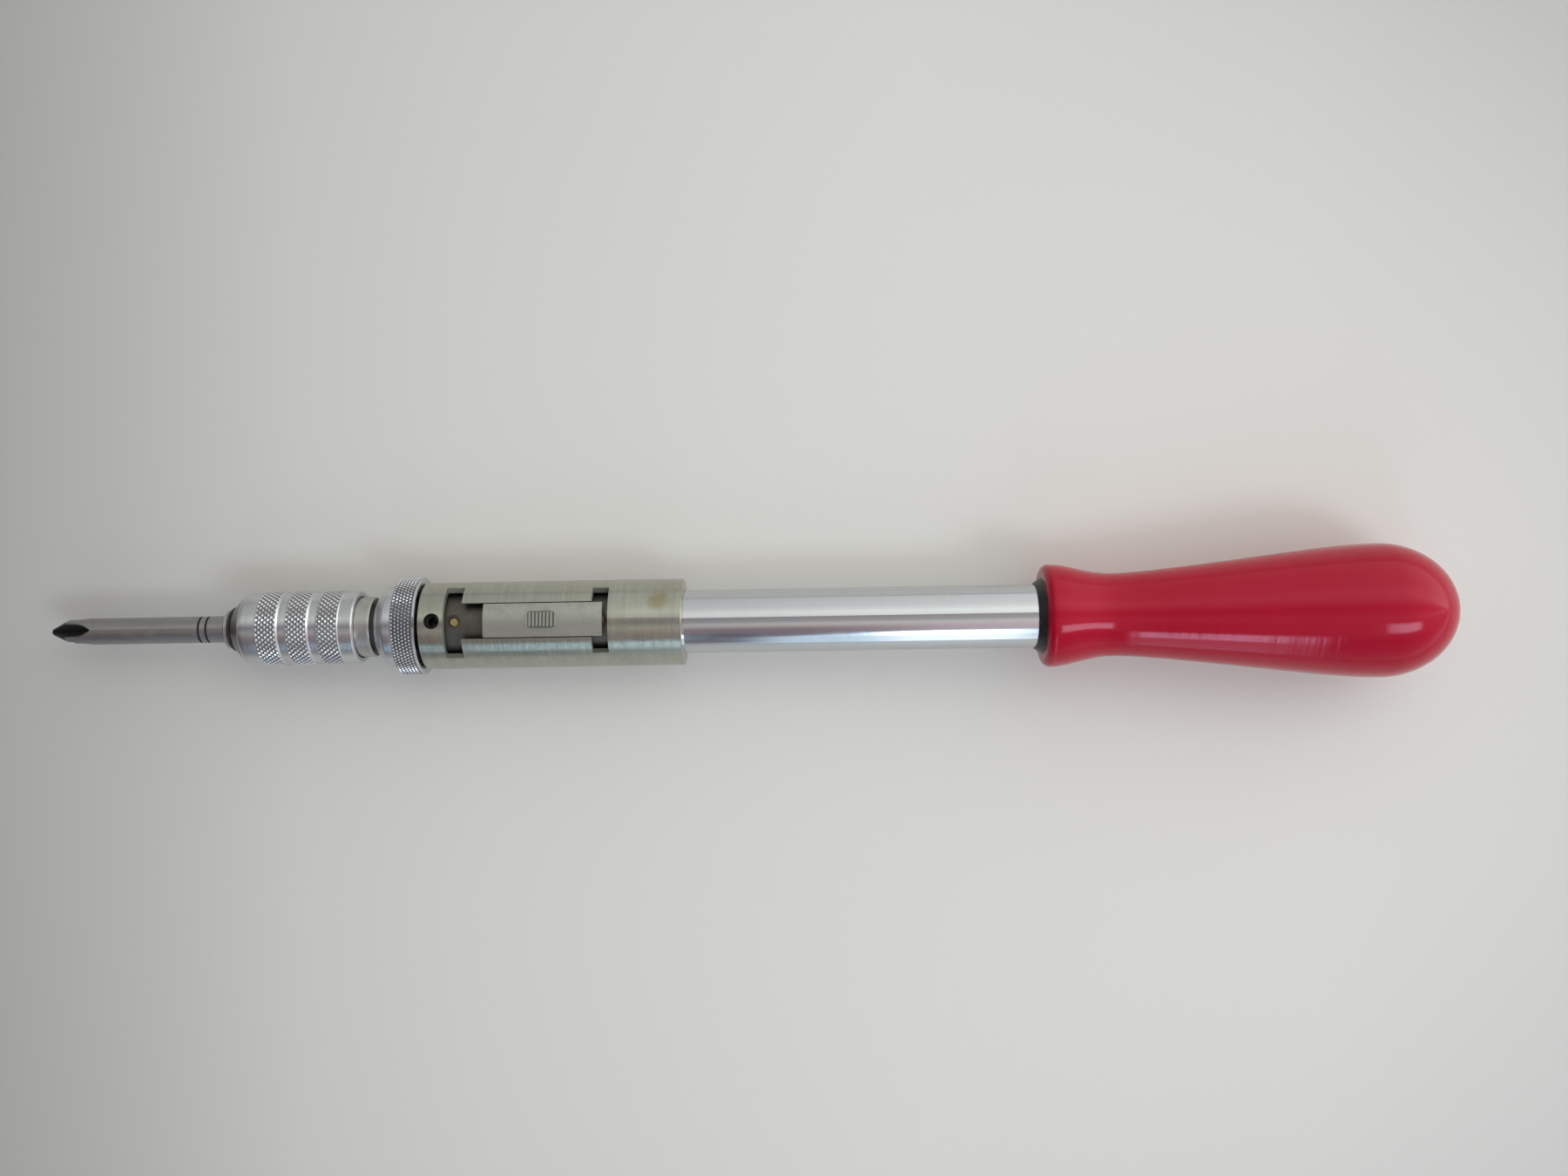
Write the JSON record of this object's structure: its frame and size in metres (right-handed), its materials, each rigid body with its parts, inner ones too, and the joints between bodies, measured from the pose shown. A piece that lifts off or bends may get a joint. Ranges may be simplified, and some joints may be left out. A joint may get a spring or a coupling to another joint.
{
  "type": "push spiral ratchet screwdriver",
  "caption": "Push-type spiral ratchet screwdriver, closed: cross-point bit, sleeve chuck, knurled lock ring, ratchet shifter, chromed tube and turned wooden handle.",
  "frame": {"origin": "tip of the bit, on the tool's axis", "axes": "+X along the tool's axis from the tip of the bit to the handle, +Z towards the side of the ratchet shifter"},
  "size_m": [0.3675, 0.0348, 0.0348],
  "materials": {
    "bit_steel": "satin grey steel, dark in the flutes",
    "black_ring": "black oxide, slightly worn",
    "chuck_steel": "turned steel, satin",
    "sleeve_aluminium": "satin with diamond knurled bands",
    "lock_aluminium": "satin with a diamond knurled band",
    "casing_plating": "zinc plated with a faint yellow chromate tint",
    "inner_sleeve_steel": "dark oily steel",
    "pawl_brass": "turned brass",
    "shifter_plating": "zinc plated, worn bright on the ribs",
    "tube_chrome": "bright chrome plate",
    "collar_black": "black, satin",
    "handle_lacquer": "turned hardwood under crimson gloss lacquer",
    "spindle_steel": "bright machined steel with a film of oil",
    "inner_steel": "plain machined steel",
    "nut_bronze": "machined bronze",
    "spring_steel": "oil tempered spring wire"
  },
  "bodies": {
    "housing": {"casing": "casing_plating", "front_bush": "inner_steel", "lock_ring_clip": "spring_steel", "pawl_sleeve": "inner_sleeve_steel", "right_nut": "nut_bronze", "nut_spacer": "inner_steel", "thrust_washers": "inner_steel", "shifter_spring": "spring_steel", "rear_bush": "casing_plating", "body_tube": "tube_chrome", "spring_seat": "inner_steel", "mainspring": "spring_steel", "handle_collar": "collar_black", "handle": "handle_lacquer"},
    "lock_ring": {"lock_ring": "lock_aluminium"},
    "lock_ball": {"lock_ball": "inner_steel"},
    "shift_plate": {"shift_plate": "shifter_plating"},
    "front_pawl": {"front_pawl": "pawl_brass"},
    "rear_pawl": {"rear_pawl": "pawl_brass"},
    "left_nut": {"left_nut": "nut_bronze"},
    "spring_follower": {"spring_follower": "inner_steel"},
    "spindle": {"spindle": "spindle_steel", "stop_collar": "inner_steel", "stop_pin": "inner_steel", "chuck_body": "chuck_steel", "chuck_pin": "inner_steel", "nose_ring": "black_ring", "chuck_spring": "spring_steel"},
    "chuck_sleeve": {"chuck_sleeve": "sleeve_aluminium"},
    "latch_ball": {"latch_ball": "inner_steel"},
    "bit": {"bit": "bit_steel"}
  },
  "joints": [
    {"name": "spindle_slide", "type": "slide", "parent": "housing", "child": "spring_follower", "axis": [-1, 0, 0], "range_m": [0, 0.143], "deforming": ["mainspring"]},
    {"name": "spindle_turn", "type": "hinge", "parent": "spring_follower", "child": "spindle", "pos_m": [0, 0, 0], "axis": [1, 0, 0], "range_deg": [-1170.5, 0.5]},
    {"name": "left_nut_turn", "type": "hinge", "parent": "housing", "child": "left_nut", "pos_m": [0.1465, 0, 0], "axis": [1, 0, 0], "range_deg": [-2341, 1]},
    {"name": "shifter_slide", "type": "slide", "parent": "housing", "child": "shift_plate", "axis": [-1, 0, 0], "range_m": [0, 0.0088]},
    {"name": "front_pawl_lift", "type": "slide", "parent": "housing", "child": "front_pawl", "axis": [0, 0, 1], "range_m": [0, 0.000901]},
    {"name": "rear_pawl_lift", "type": "slide", "parent": "housing", "child": "rear_pawl", "axis": [0, 0, 1], "range_m": [-0.000901, 0]},
    {"name": "lock_ring_turn", "type": "hinge", "parent": "housing", "child": "lock_ring", "pos_m": [0.0935, 0, 0], "axis": [1, 0, 0], "range_deg": [0, 40]},
    {"name": "lock_ball_press", "type": "slide", "parent": "housing", "child": "lock_ball", "axis": [0, 0, 1], "range_m": [-0.000951, 0]},
    {"name": "chuck_sleeve_slide", "type": "slide", "parent": "spindle", "child": "chuck_sleeve", "axis": [1, 0, 0], "range_m": [0, 0.0045], "stiffness_N_per_m": 800, "springref_m": -0.004, "deforming": ["chuck_spring"]},
    {"name": "latch_ball_lift", "type": "slide", "parent": "spindle", "child": "latch_ball", "axis": [0, 0, 1], "range_m": [0, 0.000451]},
    {"name": "bit_slide", "type": "slide", "parent": "spindle", "child": "bit", "axis": [-1, 0, 0], "range_m": [0, 0.03]}
  ],
  "couplings": [
    {"joint": "spindle_turn", "follows": "spindle_slide", "rad_per_m": -142.8},
    {"joint": "left_nut_turn", "follows": "spindle_slide", "rad_per_m": -285.6},
    {"joint": "front_pawl_lift", "follows": "shifter_slide", "ratio": 0.10227},
    {"joint": "rear_pawl_lift", "follows": "shifter_slide", "ratio": -0.10227},
    {"joint": "lock_ball_press", "follows": "lock_ring_turn", "m_per_rad": -0.0013608},
    {"joint": "latch_ball_lift", "follows": "chuck_sleeve_slide", "ratio": 0.1}
  ]
}
